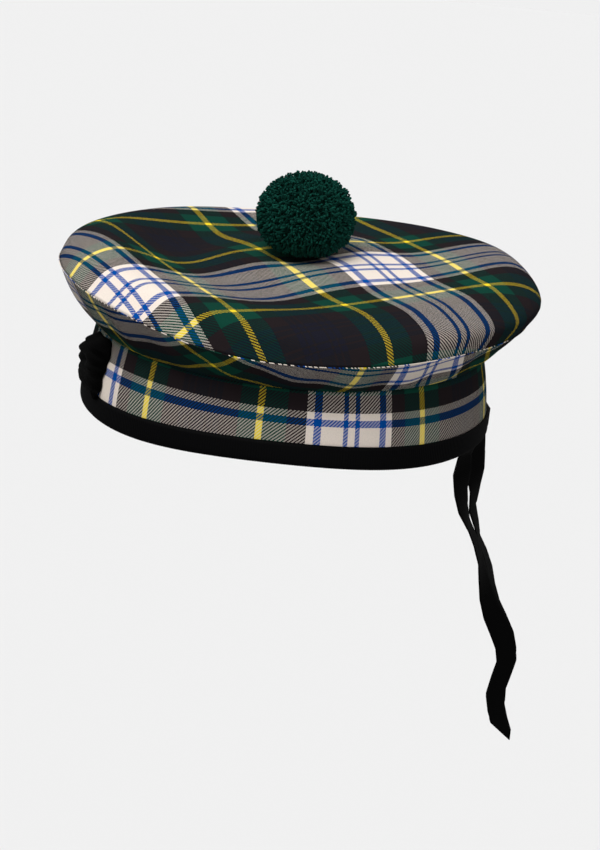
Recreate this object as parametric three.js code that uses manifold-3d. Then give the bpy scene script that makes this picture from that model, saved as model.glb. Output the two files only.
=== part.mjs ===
// Balmoral bonnet: a tartan crown of two panels on a headband, with a ribbon-bound rim,
// a pleated ribbon cockade at the front, two ribbon tails at the back and a wool pompom.
// Millimetres. The origin is the centre of the rim opening, with the rim in the plane z = 0.
// +Z is up, -Y is the front, +X is the wearer's left.
// A bearing is an angle in degrees about +Z: 0 is the wearer's left, 90 is the back.
import * as THREE from "three";
import { mergeVertices } from "three/addons/utils/BufferGeometryUtils.js";
import Module from "manifold-3d";

// Driving dimensions
const CLOTH_WALL = 1.8;
const BAND_WALL = 2.4;
const RIBBON_WALL = 0.9;
const CLEARANCE = 0.3;
const WELD_DISTANCE = 1e-4;

const BAND_FOOT_RADIUS = 94.6;
const BAND_TOP_RADIUS = 89.7;
const BAND_FOOT = 2.0;
const BINDING_HEIGHT = 10.2;
const BINDING_INSIDE_HEIGHT = 9.0;

const CROWN_CENTRE_HEIGHT = 73.0;
const CROWN_RING_RISE = 2.5;
const INNER_RADIUS = 55;
const DIMPLE = { depth: 1.4, radius: 13 };
const GATHERS = { count: 24, depth: 0.7 };

const POMPOM = { radius: 22.8, headRadius: 20.4, x: 0.3, y: 1.6, height: 92.6, flatness: 0.88 };
const LOCK = { radius: 4.3, stretch: 1.3, count: 72 };
const RIM_WAVE = { lift: 0.3, depth: 1.1, count: 4, bearing: -20 };
const TAIL_WIDTH = 11.5;
const TAIL_SLANT = 9;

// Crown sections, one for each 30 degrees of bearing: the edge seam, the puffed edge above it,
// the crest of the roll, the height of the top panel at INNER_RADIUS and the under panel's belly
const CROWN_COLUMNS = [
  "bearing", "seamR", "seamZ", "puffR", "puffZ", "crestR", "crestZ", "innerZ", "belly",
];
const CROWN_SECTIONS = [
  [0, 104.0, 46.7, 98.5, 56.5, 84.5, 62.7, 65.0, 1.2],
  [30, 105.5, 51.5, 106.0, 60.0, 90, 67.0, 68.4, 0.6],
  [60, 107.5, 55.0, 112.0, 63.5, 97, 74.5, 72.0, 0.2],
  [90, 108.0, 57.5, 113.0, 68.0, 101, 80.0, 76.0, 0.8],
  [120, 107.5, 62.5, 111.5, 72.5, 98, 81.5, 78.5, 1.6],
  [150, 106.5, 66.0, 108.5, 74.0, 94, 81.0, 76.5, 2.0],
  [180, 106.0, 67.0, 107.0, 74.5, 92, 80.5, 75.5, 2.0],
  [210, 107.0, 67.0, 107.0, 74.0, 92, 80.5, 74.0, 2.0],
  [240, 108.5, 66.5, 106.5, 73.0, 92, 78.0, 70.5, 1.6],
  [270, 108.5, 63.2, 103.5, 70.0, 88, 76.0, 68.0, 1.6],
  [300, 106.0, 55.8, 96.0, 66.5, 86, 67.8, 66.0, 1.6],
  [330, 104.5, 47.2, 99.5, 59.0, 83.5, 62.8, 62.8, 1.4],
].map((row) => Object.fromEntries(CROWN_COLUMNS.map((column, index) => [column, row[index]])));

// Height of the headband's upper edge, one row for each 45 degrees of bearing
const BAND_TOPS = [
  { bearing: 0, topZ: 32.5 },
  { bearing: 45, topZ: 35.5 },
  { bearing: 90, topZ: 38.5 },
  { bearing: 135, topZ: 40.5 },
  { bearing: 180, topZ: 41.0 },
  { bearing: 225, topZ: 39.5 },
  { bearing: 270, topZ: 37.0 },
  { bearing: 315, topZ: 33.5 },
];

// Cockade: a flat pleated rosette with blunt corners, pinched in the middle; the upper lobe is the larger
const COCKADE = {
  bearing: 270,
  pinchZ: 22,
  up: 14.0,
  down: 10.4,
  side: 25.5,
  squareness: 8,
  edge: 0.9,
  puff: 2.9,
  puffBluntness: 0.7,
  upperPuff: 0.45,
  pleats: 14,
  pleatDepth: 0.5,
  scallop: 0.02,
  stepsPerPleat: 4,
};
const COCKADE_FRONT_RINGS = [0, 0.2, 0.45, 0.7, 0.9, 1];
const COCKADE_BACK_RINGS = [0, 0.5, 1];

// Ribbon tails: points down each ribbon's middle line, with the bearing of its width direction
const TAIL_NEAR = [
  { x: 21.7, y: 94.0, z: 9.6, widthBearing: 167 },
  { x: 21.8, y: 94.1, z: 1.0, widthBearing: 165 },
  { x: 20.6, y: 90.8, z: -8, widthBearing: 144 },
  { x: 18.2, y: 86.9, z: -17, widthBearing: 125 },
  { x: 16.4, y: 87.5, z: -26, widthBearing: 112 },
  { x: 15.0, y: 88.8, z: -36, widthBearing: 127 },
  { x: 13.8, y: 91.6, z: -45, widthBearing: 136 },
  { x: 12.8, y: 96.1, z: -54, widthBearing: 152 },
  { x: 12.0, y: 101.0, z: -63, widthBearing: 150 },
  { x: 11.0, y: 105.4, z: -73, widthBearing: 148 },
  { x: 10.2, y: 108.6, z: -83, widthBearing: 136 },
  { x: 9.6, y: 112.0, z: -93, widthBearing: 122 },
  { x: 9.0, y: 116.6, z: -103, widthBearing: 110 },
  { x: 8.4, y: 122.0, z: -112, widthBearing: 102 },
  { x: 8.0, y: 126.8, z: -121, widthBearing: 98 },
  { x: 7.6, y: 129.0, z: -130, widthBearing: 97 },
  { x: 7.2, y: 127.2, z: -139, widthBearing: 97 },
  { x: 7.0, y: 125.4, z: -148, widthBearing: 102 },
  { x: 6.8, y: 127.2, z: -157, widthBearing: 110 },
  { x: 6.6, y: 130.2, z: -165, widthBearing: 114 },
  { x: 6.4, y: 132.8, z: -171, widthBearing: 114 },
];
const TAIL_FAR = [
  { x: 5.0, y: 96.4, z: 9.6, widthBearing: 177 },
  { x: 5.0, y: 97.0, z: 1.0, widthBearing: 170 },
  { x: 4.8, y: 100.1, z: -9, widthBearing: 141 },
  { x: 4.2, y: 98.7, z: -19, widthBearing: 110 },
  { x: 3.2, y: 100.2, z: -29, widthBearing: 112 },
  { x: 2.2, y: 101.6, z: -39, widthBearing: 134 },
  { x: 1.2, y: 102.0, z: -49, widthBearing: 142 },
  { x: 0.2, y: 105.7, z: -58, widthBearing: 149 },
  { x: -0.8, y: 108.8, z: -67, widthBearing: 154 },
  { x: -1.8, y: 113.4, z: -75, widthBearing: 150 },
  { x: -2.6, y: 117.4, z: -84, widthBearing: 146 },
  { x: -3.2, y: 120.2, z: -94, widthBearing: 142 },
  { x: -3.6, y: 123.8, z: -104, widthBearing: 136 },
  { x: -4.0, y: 128.4, z: -113, widthBearing: 126 },
  { x: -4.2, y: 132.8, z: -122, widthBearing: 118 },
  { x: -4.4, y: 135.2, z: -131, widthBearing: 112 },
  { x: -4.6, y: 133.8, z: -140, widthBearing: 110 },
  { x: -4.8, y: 132.0, z: -149, widthBearing: 110 },
  { x: -5.0, y: 132.8, z: -158, widthBearing: 112 },
];

// Steps round the hat and along each profile
const STEPS = {
  top: 64,
  under: 96,
  band: 64,
  binding: 64,
  topProfile: 12,
  underProfile: 4,
  bandProfile: 3,
  tail: 30,
};
const RIBBON_CORNERS = [[-1, 1], [1, 1], [1, -1], [-1, -1]];

const DEGREE = Math.PI / 180;
const tartan = new THREE.MeshStandardMaterial({ color: 0x27423c, roughness: 0.85, metalness: 0 });
const ribbon = new THREE.MeshStandardMaterial({ color: 0x0b0b0d, roughness: 0.6, metalness: 0 });
const wool = new THREE.MeshStandardMaterial({ color: 0x08302a, roughness: 0.95, metalness: 0 });

function onBearing(bearing, radius, height) {
  const angle = bearing * DEGREE;
  return new THREE.Vector3(radius * Math.cos(angle), radius * Math.sin(angle), height);
}

// Smooth value of one column of a table whose rows are evenly spaced round the hat
function roundTable(table, column, bearing) {
  const place = THREE.MathUtils.euclideanModulo(bearing, 360) / 360 * table.length;
  const first = Math.floor(place);
  const value = (offset) => table[(first + offset + table.length) % table.length][column];
  const [a, b, c, d] = [value(-1), value(0), value(1), value(2)];
  const t = place - first;
  const slope = (c - a) / 2;
  const bend = a - 2.5 * b + 2 * c - 0.5 * d;
  const turn = 1.5 * (b - c) + 0.5 * (d - a);
  return b + t * (slope + t * (bend + t * turn));
}

// Profiles are lists of Vector2 (radius, height), run so that the cloth's outside is on their left
function unitLeft(profile, index) {
  const before = profile[Math.max(index - 1, 0)];
  const after = profile[Math.min(index + 1, profile.length - 1)];
  const along = after.clone().sub(before).normalize();
  return new THREE.Vector2(-along.y, along.x);
}

function offsetInside(profile, wall) {
  return profile.map((point, index) => point.clone().addScaledVector(unitLeft(profile, index), -wall));
}

function wallSection(outside, inside) {
  return [...inside, ...outside.slice().reverse()];
}

function topProfile(bearing) {
  const at = (column) => roundTable(CROWN_SECTIONS, column, bearing);
  const innerZ = at("innerZ");
  const points = [
    new THREE.Vector3(0, CROWN_CENTRE_HEIGHT, 0),
    new THREE.Vector3(INNER_RADIUS / 2, (CROWN_CENTRE_HEIGHT + innerZ) / 2 + CROWN_RING_RISE, 0),
    new THREE.Vector3(INNER_RADIUS, innerZ, 0),
    new THREE.Vector3(at("crestR"), at("crestZ"), 0),
    new THREE.Vector3(at("puffR"), at("puffZ"), 0),
    new THREE.Vector3(at("seamR"), at("seamZ"), 0),
  ];
  const curve = new THREE.CatmullRomCurve3(points, false, "centripetal");
  return curve.getSpacedPoints(STEPS.topProfile).map(({ x, y }) => {
    const dimple = DIMPLE.depth * Math.exp(-((x / DIMPLE.radius) ** 2));
    return new THREE.Vector2(x, y - dimple);
  });
}

function bandTop(bearing) {
  return roundTable(BAND_TOPS, "topZ", bearing);
}

// The soft rim rises and falls a little on its way round, and the band's upper edge takes none of it
function onRimWave(bearing, { x, y }) {
  const wave = RIM_WAVE.depth * Math.cos(RIM_WAVE.count * (bearing - RIM_WAVE.bearing) * DEGREE);
  const share = 1 - THREE.MathUtils.clamp(y / bandTop(bearing), 0, 1);
  return new THREE.Vector2(x, y + (RIM_WAVE.lift + wave) * share);
}

function bandRadius(bearing, height) {
  const rise = THREE.MathUtils.clamp(height / bandTop(bearing), 0, 1);
  return BAND_FOOT_RADIUS - (BAND_FOOT_RADIUS - BAND_TOP_RADIUS) * rise ** 2;
}

function underProfile(bearing) {
  const seam = topProfile(bearing).at(-1);
  const foot = new THREE.Vector2(BAND_TOP_RADIUS + CLEARANCE, bandTop(bearing) + CLEARANCE);
  const along = foot.clone().sub(seam).normalize();
  const belly = 2 * roundTable(CROWN_SECTIONS, "belly", bearing);
  const handle = seam.clone().lerp(foot, 0.5).addScaledVector(new THREE.Vector2(-along.y, along.x), belly);
  const curve = new THREE.QuadraticBezierCurve(seam, handle, foot);
  const points = curve.getPoints(STEPS.underProfile);
  return points.map((point, index) => {
    const share = index / STEPS.underProfile;
    const gather = GATHERS.depth * Math.sin(share * Math.PI) * Math.cos(GATHERS.count * bearing * DEGREE);
    return point.clone().addScaledVector(unitLeft(points, index), gather);
  });
}

// Where the two panels meet, both walls end on the plane that halves the angle between them
function seamMitre(bearing) {
  const top = topProfile(bearing);
  const seam = top.at(-1);
  const upTop = top.at(-2).clone().sub(seam).normalize();
  const downUnder = underProfile(bearing)[1].clone().sub(seam).normalize();
  const topOutward = new THREE.Vector2(upTop.y, -upTop.x);
  const underOutward = new THREE.Vector2(-downUnder.y, downUnder.x);
  const outward = topOutward.clone().add(underOutward).normalize();
  const share = outward.dot(topOutward);
  const insideCorner = seam.clone().addScaledVector(outward, -CLOTH_WALL / share);
  const gap = CLEARANCE / (2 * share);
  return { seam, insideCorner, upTop, downUnder, gap };
}

function crownTopSection(bearing) {
  const outside = topProfile(bearing);
  const inside = offsetInside(outside, CLOTH_WALL);
  inside[0].set(0, outside[0].y - CLOTH_WALL);
  const { seam, insideCorner, upTop, gap } = seamMitre(bearing);
  outside.splice(-1, 1, seam.clone().addScaledVector(upTop, gap));
  inside.splice(-1, 1, insideCorner.clone().addScaledVector(upTop, gap));
  return wallSection(outside, inside);
}

function crownUnderSection(bearing) {
  const outside = underProfile(bearing);
  const inside = offsetInside(outside, CLOTH_WALL);
  const { seam, insideCorner, downUnder, gap } = seamMitre(bearing);
  outside.splice(0, 1, seam.clone().addScaledVector(downUnder, gap));
  inside.splice(0, 1, insideCorner.clone().addScaledVector(downUnder, gap));
  const foot = outside.at(-1);
  const levelWall = CLOTH_WALL / unitLeft(outside, outside.length - 1).x;
  inside.splice(-1, 1, new THREE.Vector2(foot.x - levelWall, foot.y));
  return wallSection(outside, inside);
}

function headbandSection(bearing) {
  const outside = [];
  for (let step = 0; step <= STEPS.bandProfile; step += 1) {
    const height = THREE.MathUtils.lerp(bandTop(bearing), BAND_FOOT, step / STEPS.bandProfile);
    outside.push(new THREE.Vector2(bandRadius(bearing, height), height));
  }
  const inside = outside.map(({ x, y }) => new THREE.Vector2(x - BAND_WALL, y));
  return wallSection(outside, inside).map((point) => onRimWave(bearing, point));
}

function rimBindingSection(bearing) {
  const stand = CLEARANCE + RIBBON_WALL;
  const bend = BAND_FOOT - CLEARANCE;
  const outerLeg = [BINDING_HEIGHT, bend].map(
    (height) => new THREE.Vector2(bandRadius(bearing, height) + stand, height),
  );
  const innerLeg = [bend, BINDING_INSIDE_HEIGHT].map(
    (height) => new THREE.Vector2(bandRadius(bearing, height) - BAND_WALL - stand, height),
  );
  const outerFoot = new THREE.Vector2(outerLeg.at(-1).x - bend, 0);
  const innerFoot = new THREE.Vector2(innerLeg[0].x + bend, 0);
  const outside = [...outerLeg, outerFoot, innerFoot, ...innerLeg];
  return wallSection(outside, offsetInside(outside, RIBBON_WALL)).map((point) => onRimWave(bearing, point));
}

// A closed solid from a closed section swept once round the hat
function sweepRound(sectionAt, steps) {
  const rows = [];
  for (let step = 0; step < steps; step += 1) {
    const bearing = 360 * step / steps;
    rows.push(sectionAt(bearing).map(({ x, y }) => onBearing(bearing, x, y)));
  }
  return skin(rows, true);
}

// Joins rows of points into a closed surface; open ends are closed by a fan
function skin(rows, isRing) {
  const width = rows[0].length;
  const positions = rows.flat().flatMap((point) => point.toArray());
  const faces = [];
  const lastRow = isRing ? rows.length : rows.length - 1;
  for (let row = 0; row < lastRow; row += 1) {
    const next = (row + 1) % rows.length;
    for (let column = 0; column < width; column += 1) {
      const beside = (column + 1) % width;
      const a = row * width + column;
      const b = row * width + beside;
      const c = next * width + beside;
      const d = next * width + column;
      faces.push(a, d, c, a, c, b);
    }
  }
  if (!isRing) {
    const end = (rows.length - 1) * width;
    for (let column = 1; column < width - 1; column += 1) {
      faces.push(0, column, column + 1);
      faces.push(end, end + column + 1, end + column);
    }
  }
  const geometry = new THREE.BufferGeometry();
  geometry.setAttribute("position", new THREE.Float32BufferAttribute(positions, 3));
  geometry.setIndex(faces);
  return withoutSlivers(mergeVertices(geometry, WELD_DISTANCE));
}

// Drops the triangles that a pole turns into lines
function withoutSlivers(geometry) {
  const faces = geometry.index.array;
  const kept = [];
  for (let face = 0; face < faces.length; face += 3) {
    const [a, b, c] = [faces[face], faces[face + 1], faces[face + 2]];
    if (a !== b && b !== c && c !== a) kept.push(a, b, c);
  }
  geometry.setIndex(kept);
  geometry.computeVertexNormals();
  return geometry;
}

// The cockade lies on the band, above the binding
function cockadeSeat(bearing, height) {
  return bandRadius(bearing, height) + CLEARANCE;
}

function cockadePoint(angle, share, lift) {
  const [across, rise] = [Math.cos(angle), Math.sin(angle)];
  const { squareness } = COCKADE;
  const blunt = (Math.abs(across) ** squareness + Math.abs(rise) ** squareness) ** (-1 / squareness);
  const reach = share * blunt * (1 + COCKADE.scallop * Math.cos(COCKADE.pleats * angle) * share);
  const height = COCKADE.pinchZ + (rise > 0 ? COCKADE.up : COCKADE.down) * rise * reach;
  const along = COCKADE.side * across * reach;
  const bearing = COCKADE.bearing + along / BAND_FOOT_RADIUS / DEGREE;
  return onBearing(bearing, cockadeSeat(bearing, height) + lift, height);
}

function cockadeGeometry() {
  const turns = COCKADE.pleats * COCKADE.stepsPerPleat;
  const rows = [];
  for (let turn = 0; turn < turns; turn += 1) {
    const angle = 2 * Math.PI * turn / turns;
    const lobe = 1 + COCKADE.upperPuff * Math.sin(angle);
    const back = COCKADE_BACK_RINGS.map((share) => cockadePoint(angle, share, 0));
    const front = COCKADE_FRONT_RINGS.map((share) => {
      const puff = COCKADE.puff * lobe * Math.sin(Math.PI * share) ** COCKADE.puffBluntness;
      const pleat = COCKADE.pleatDepth * Math.cos(COCKADE.pleats * angle) * share;
      return cockadePoint(angle, share, COCKADE.edge + puff + pleat);
    });
    rows.push([...back, ...front.reverse()]);
  }
  return skin(rows, true);
}

// A flat ribbon along a route, its end cut on the slant
function tailGeometry(route) {
  const middle = new THREE.CatmullRomCurve3(route.map(({ x, y, z }) => new THREE.Vector3(x, y, z)));
  const rows = [];
  for (let step = 0; step <= STEPS.tail; step += 1) {
    const share = step / STEPS.tail;
    const place = share * (route.length - 1);
    const first = Math.min(Math.floor(place), route.length - 2);
    const turn = THREE.MathUtils.lerp(
      route[first].widthBearing,
      route[first + 1].widthBearing,
      place - first,
    );
    const along = middle.getTangent(share);
    const across = onBearing(turn, 1, 0);
    across.addScaledVector(along, -across.dot(along)).normalize();
    const thick = new THREE.Vector3().crossVectors(along, across);
    const cut = step === STEPS.tail ? TAIL_SLANT : 0;
    rows.push(RIBBON_CORNERS.map(([side, face]) => {
      const point = middle.getPoint(share).addScaledVector(across, side * TAIL_WIDTH / 2);
      return point.addScaledVector(thick, face * RIBBON_WALL / 2).addScaledVector(along, side * cut);
    }));
  }
  return skin(rows, false);
}

// Points spread evenly over a ball
function evenDirections(count) {
  const golden = Math.PI * (3 - Math.sqrt(5));
  return Array.from({ length: count }, (_, index) => {
    const height = 1 - 2 * (index + 0.5) / count;
    const ring = Math.sqrt(1 - height * height);
    return new THREE.Vector3(ring * Math.cos(golden * index), ring * Math.sin(golden * index), height);
  });
}

function asSolid(wasm, geometry) {
  const bare = geometry.clone();
  bare.deleteAttribute("normal");
  bare.deleteAttribute("uv");
  const welded = withoutSlivers(mergeVertices(bare, WELD_DISTANCE));
  const vertProperties = new Float32Array(welded.attributes.position.array);
  const triVerts = new Uint32Array(welded.index.array);
  return new wasm.Manifold(new wasm.Mesh({ numProp: 3, vertProperties, triVerts }));
}

function asGeometry(solid) {
  const { vertProperties, triVerts, numProp } = solid.getMesh();
  const geometry = new THREE.BufferGeometry();
  geometry.setAttribute("position", new THREE.BufferAttribute(new Float32Array(vertProperties), numProp));
  geometry.setIndex(new THREE.BufferAttribute(new Uint32Array(triVerts), 1));
  geometry.computeVertexNormals();
  return geometry;
}

// The pompom's wool stands out in short blunt locks, fused to a round head, and is pressed a little flat
async function pompomGeometry() {
  const wasm = await Module();
  wasm.setup();
  let solid = asSolid(wasm, new THREE.IcosahedronGeometry(POMPOM.headRadius, 2));
  const lock = new THREE.IcosahedronGeometry(LOCK.radius, 0);
  lock.scale(1, LOCK.stretch, 1);
  lock.translate(0, POMPOM.radius - LOCK.radius * LOCK.stretch, 0);
  for (const direction of evenDirections(LOCK.count)) {
    const turn = new THREE.Quaternion().setFromUnitVectors(new THREE.Vector3(0, 1, 0), direction);
    solid = solid.add(asSolid(wasm, lock.clone().applyQuaternion(turn)));
  }
  return asGeometry(solid).scale(1, 1, POMPOM.flatness);
}

function piece(name, geometry, material) {
  const mesh = new THREE.Mesh(geometry, material);
  mesh.name = name;
  return mesh;
}

const bonnet = new THREE.Group();
bonnet.add(piece("crown_top", sweepRound(crownTopSection, STEPS.top), tartan));
bonnet.add(piece("crown_under", sweepRound(crownUnderSection, STEPS.under), tartan));
bonnet.add(piece("headband", sweepRound(headbandSection, STEPS.band), tartan));
bonnet.add(piece("rim_binding", sweepRound(rimBindingSection, STEPS.binding), ribbon));
bonnet.add(piece("cockade", cockadeGeometry(), ribbon));
bonnet.add(piece("ribbon_tail_near", tailGeometry(TAIL_NEAR), ribbon));
bonnet.add(piece("ribbon_tail_far", tailGeometry(TAIL_FAR), ribbon));
const pompom = piece("pompom", await pompomGeometry(), wool);
pompom.position.set(POMPOM.x, POMPOM.y, POMPOM.height);
bonnet.add(pompom);

export default bonnet;
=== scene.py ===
"""Balmoral bonnet: the cloth, ribbon and wool of the finished hat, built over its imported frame.

Shapes are worked out in millimetres and put into meshes in metres. A bearing is an angle in degrees
about +Z: 0 is the wearer's left, 90 the back, 180 the wearer's right and 270 the front.
"""

import math

import bmesh
import bpy
import numpy as np
from mathutils import Matrix, Vector


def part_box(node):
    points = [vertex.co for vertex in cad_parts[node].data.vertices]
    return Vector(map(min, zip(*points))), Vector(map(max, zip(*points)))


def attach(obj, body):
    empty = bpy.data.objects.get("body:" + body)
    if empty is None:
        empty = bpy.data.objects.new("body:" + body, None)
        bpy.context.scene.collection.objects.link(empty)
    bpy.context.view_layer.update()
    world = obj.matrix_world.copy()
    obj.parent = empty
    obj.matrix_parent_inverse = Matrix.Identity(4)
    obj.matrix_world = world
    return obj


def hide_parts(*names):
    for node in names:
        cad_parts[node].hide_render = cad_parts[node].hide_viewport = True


bl_info = {
    "name": "Balmoral bonnet",
    "version": (1, 0, 0),
    "blender": (4, 5, 0),
    "location": "View3D > Sidebar > Bonnet",
    "description": "Builds a tartan balmoral bonnet with its cockade, ribbon tails and pompom",
    "category": "Object",
}

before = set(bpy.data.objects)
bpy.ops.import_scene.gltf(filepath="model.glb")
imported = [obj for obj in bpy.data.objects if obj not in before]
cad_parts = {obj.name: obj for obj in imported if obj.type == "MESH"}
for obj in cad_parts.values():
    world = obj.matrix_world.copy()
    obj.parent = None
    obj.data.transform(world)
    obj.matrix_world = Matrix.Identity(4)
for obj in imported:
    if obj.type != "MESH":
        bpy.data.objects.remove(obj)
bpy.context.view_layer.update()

MM = 0.001
BODY = "root"

# Crown sections, one for each 30 degrees of bearing: the edge seam, the puffed edge above it,
# the crest of the roll, the height of the top panel at INNER_RADIUS and the under panel's belly
INNER_RADIUS = 55
CROWN_COLUMNS = (
    "bearing",
    "seam_r",
    "seam_z",
    "puff_r",
    "puff_z",
    "crest_r",
    "crest_z",
    "inner_z",
    "belly",
)
CROWN_SECTIONS = (
    (0, 104.0, 46.7, 98.5, 56.5, 84.5, 62.7, 65.0, 1.2),
    (30, 105.5, 51.5, 106.0, 60.0, 90, 67.0, 68.4, 0.6),
    (60, 107.5, 55.0, 112.0, 63.5, 97, 74.5, 72.0, 0.2),
    (90, 108.0, 57.5, 113.0, 68.0, 101, 80.0, 76.0, 0.8),
    (120, 107.5, 62.5, 111.5, 72.5, 98, 81.5, 78.5, 1.6),
    (150, 106.5, 66.0, 108.5, 74.0, 94, 81.0, 76.5, 2.0),
    (180, 106.0, 67.0, 107.0, 74.5, 92, 80.5, 75.5, 2.0),
    (210, 107.0, 67.0, 107.0, 74.0, 92, 80.5, 74.0, 2.0),
    (240, 108.5, 66.5, 106.5, 73.0, 92, 78.0, 70.5, 1.6),
    (270, 108.5, 63.2, 103.5, 70.0, 88, 76.0, 68.0, 1.6),
    (300, 106.0, 55.8, 96.0, 66.5, 86, 67.8, 66.0, 1.6),
    (330, 104.5, 47.2, 99.5, 59.0, 83.5, 62.8, 62.8, 1.4),
)
CROWN = dict(zip(CROWN_COLUMNS, np.array(CROWN_SECTIONS, float).T))

# Height of the headband's upper edge, one value for each 45 degrees of bearing
BAND_TOPS = (32.5, 35.5, 38.5, 40.5, 41.0, 39.5, 37.0, 33.5)

# Ribbon tails: points down each ribbon's middle line, as x, y, z and the bearing of its width there
TAIL_NEAR = (
    (21.7, 94.0, 9.6, 167),
    (21.8, 94.1, 1.0, 165),
    (20.6, 90.8, -8, 144),
    (18.2, 86.9, -17, 125),
    (16.4, 87.5, -26, 112),
    (15.0, 88.8, -36, 127),
    (13.8, 91.6, -45, 136),
    (12.8, 96.1, -54, 152),
    (12.0, 101.0, -63, 150),
    (11.0, 105.4, -73, 148),
    (10.2, 108.6, -83, 136),
    (9.6, 112.0, -93, 122),
    (9.0, 116.6, -103, 110),
    (8.4, 122.0, -112, 102),
    (8.0, 126.8, -121, 98),
    (7.6, 129.0, -130, 97),
    (7.2, 127.2, -139, 97),
    (7.0, 125.4, -148, 102),
    (6.8, 127.2, -157, 110),
    (6.6, 130.2, -165, 114),
    (6.4, 132.8, -171, 114),
)
TAIL_FAR = (
    (5.0, 96.4, 9.6, 177),
    (5.0, 97.0, 1.0, 170),
    (4.8, 100.1, -9, 141),
    (4.2, 98.7, -19, 110),
    (3.2, 100.2, -29, 112),
    (2.2, 101.6, -39, 134),
    (1.2, 102.0, -49, 142),
    (0.2, 105.7, -58, 149),
    (-0.8, 108.8, -67, 154),
    (-1.8, 113.4, -75, 150),
    (-2.6, 117.4, -84, 146),
    (-3.2, 120.2, -94, 142),
    (-3.6, 123.8, -104, 136),
    (-4.0, 128.4, -113, 126),
    (-4.2, 132.8, -122, 118),
    (-4.4, 135.2, -131, 112),
    (-4.6, 133.8, -140, 110),
    (-4.8, 132.0, -149, 110),
    (-5.0, 132.8, -158, 112),
)

# Fixed sizes of the shapes, in millimetres
CLOTH_WALL = 1.8
BAND_WALL = 2.4
RIBBON_WALL = 0.9
CLEARANCE = 0.3
WELD = 0.0001
BAND_FOOT_RADIUS = 94.6
BAND_TOP_RADIUS = 89.7
BAND_FOOT = 2.0
BINDING_HEIGHT = 10.2
BINDING_INSIDE_HEIGHT = 9.0
CROWN_CENTRE_HEIGHT = 73.0
CROWN_RING_RISE = 2.5
DIMPLE_DEPTH = 1.4
DIMPLE_RADIUS = 13
RIM_LIFT = 0.3
RIM_WAVE_DEPTH = 1.1
RIM_WAVE_COUNT = 4
RIM_WAVE_BEARING = -20

# The tartan's half sett, from the middle of its white block to the middle of its dark ground:
# yarn and width in millimetres
HALF_SETT = (
    ("cream", 1.55),
    ("blue", 1.85),
    ("cream", 9.7),
    ("blue", 3.1),
    ("cream", 3.1),
    ("black", 7.9),
    ("green", 9.3),
    ("yellow", 2.8),
    ("green", 8.4),
    ("black", 8.8),
    ("navy", 2.4),
    ("black", 0.9),
    ("navy", 2.4),
    ("black", 0.9),
    ("navy", 3.3),
)
HALF_SETT_WIDTH = sum(width for _, width in HALF_SETT)

# Where the cloth's white block lies on each panel, and how the grain is turned, in cloth millimetres
TOP_GRAIN = {"bearing": 12.2, "x": 28.5, "y": 26.9, "scale": 0.955}
# Where the top panel's cloth is pulled askew: the middle of each pull, its reach, and the pull itself
TOP_PULLS = (
    (-100, -85, 60, 5.8, 12.1),
    (5, -115, 30, 0.4, -3.2),
    (5, -55, 30, -1.6, 5.5),
    (35, 35, 22, -3.9, 4.5),
    (-10, 20, 22, 1.9, -2.4),
    (-40, -25, 22, 6.8, 0.3),
    (5, -145, 30, -2.7, 1.4),
    (-55, -55, 22, -0.5, 5.2),
    (-55, -160, 22, -0.6, 5.5),
)
UNDER_GRAIN = {"bearing": 7.9, "x": 117.8, "y": 22.4, "scale": 1.0}
# The under panel is cut as a flat ring: its radius at the edge seam, and the cloth in each sewn millimetre
UNDER_CUT = {"ring": 123.9, "ease": 1.757}
BAND_GRAIN = {"bearing": 1.66, "height": 4.9, "scale": 0.979, "rise_scale": 0.94}
# The band's weft sags at a bearing and opposite it, and lies straight again where it meets the binding
BAND_BOW = {"depth": 1.7, "bearing": -3, "settles": 13}
# Where the band's cloth is pulled along the band: the middle of each pull, its reach, and the pull itself
BAND_PULLS = ((-94, 18, -1.3), (-39, 14, 1.5), (36, 14, 2.5))


def linear_colour(code):
    """Linear colour of an sRGB hex code."""
    channels = [((code >> shift) & 255) / 255 for shift in (16, 8, 0)]
    return tuple(c / 12.92 if c <= 0.04045 else ((c + 0.055) / 1.055) ** 2.4 for c in channels)


def colour_property(label, code, words):
    return bpy.props.FloatVectorProperty(
        name=label,
        description=words,
        subtype="COLOR",
        size=3,
        min=0,
        max=1,
        default=linear_colour(code),
    )


def length_property(label, millimetres, words):
    return bpy.props.FloatProperty(
        name=label,
        description=words,
        unit="LENGTH",
        precision=5,
        default=millimetres * MM,
    )


def strength_property(label, strength, words):
    return bpy.props.FloatProperty(name=label, description=words, min=0, default=strength)


def count_property(label, count, words):
    return bpy.props.IntProperty(name=label, description=words, min=0, default=count)


class TartanSettings(bpy.types.PropertyGroup):
    """Yarns of the tartan cloth."""

    cream: colour_property("Cream", 0xECE0D4, "Colour of the white yarn")
    blue: colour_property("Blue", 0x06499C, "Colour of the blue yarn")
    yellow: colour_property("Yellow", 0xF4D630, "Colour of the yellow yarn")
    green: colour_property("Green", 0x0E3D31, "Colour of the green yarn")
    black: colour_property("Black", 0x221C1E, "Colour of the black yarn")
    navy: colour_property("Navy", 0x1B1B25, "Colour of the navy yarn")
    thread: length_property("Thread", 0.4, "Distance from one thread of the twill to the next")


class CrownSettings(bpy.types.PropertyGroup):
    """Gathers and puckers of the crown."""

    gather_count: count_property("Gathers", 24, "Soft gathers of the under panel")
    gather_depth: length_property("Gather depth", 0.7, "Depth of the under panel's gathers")
    pucker_count: count_property("Puckers", 110, "Small puckers along the edge seam")
    pucker_depth: length_property("Pucker depth", 0.16, "Depth of the puckers along the edge seam")


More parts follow.
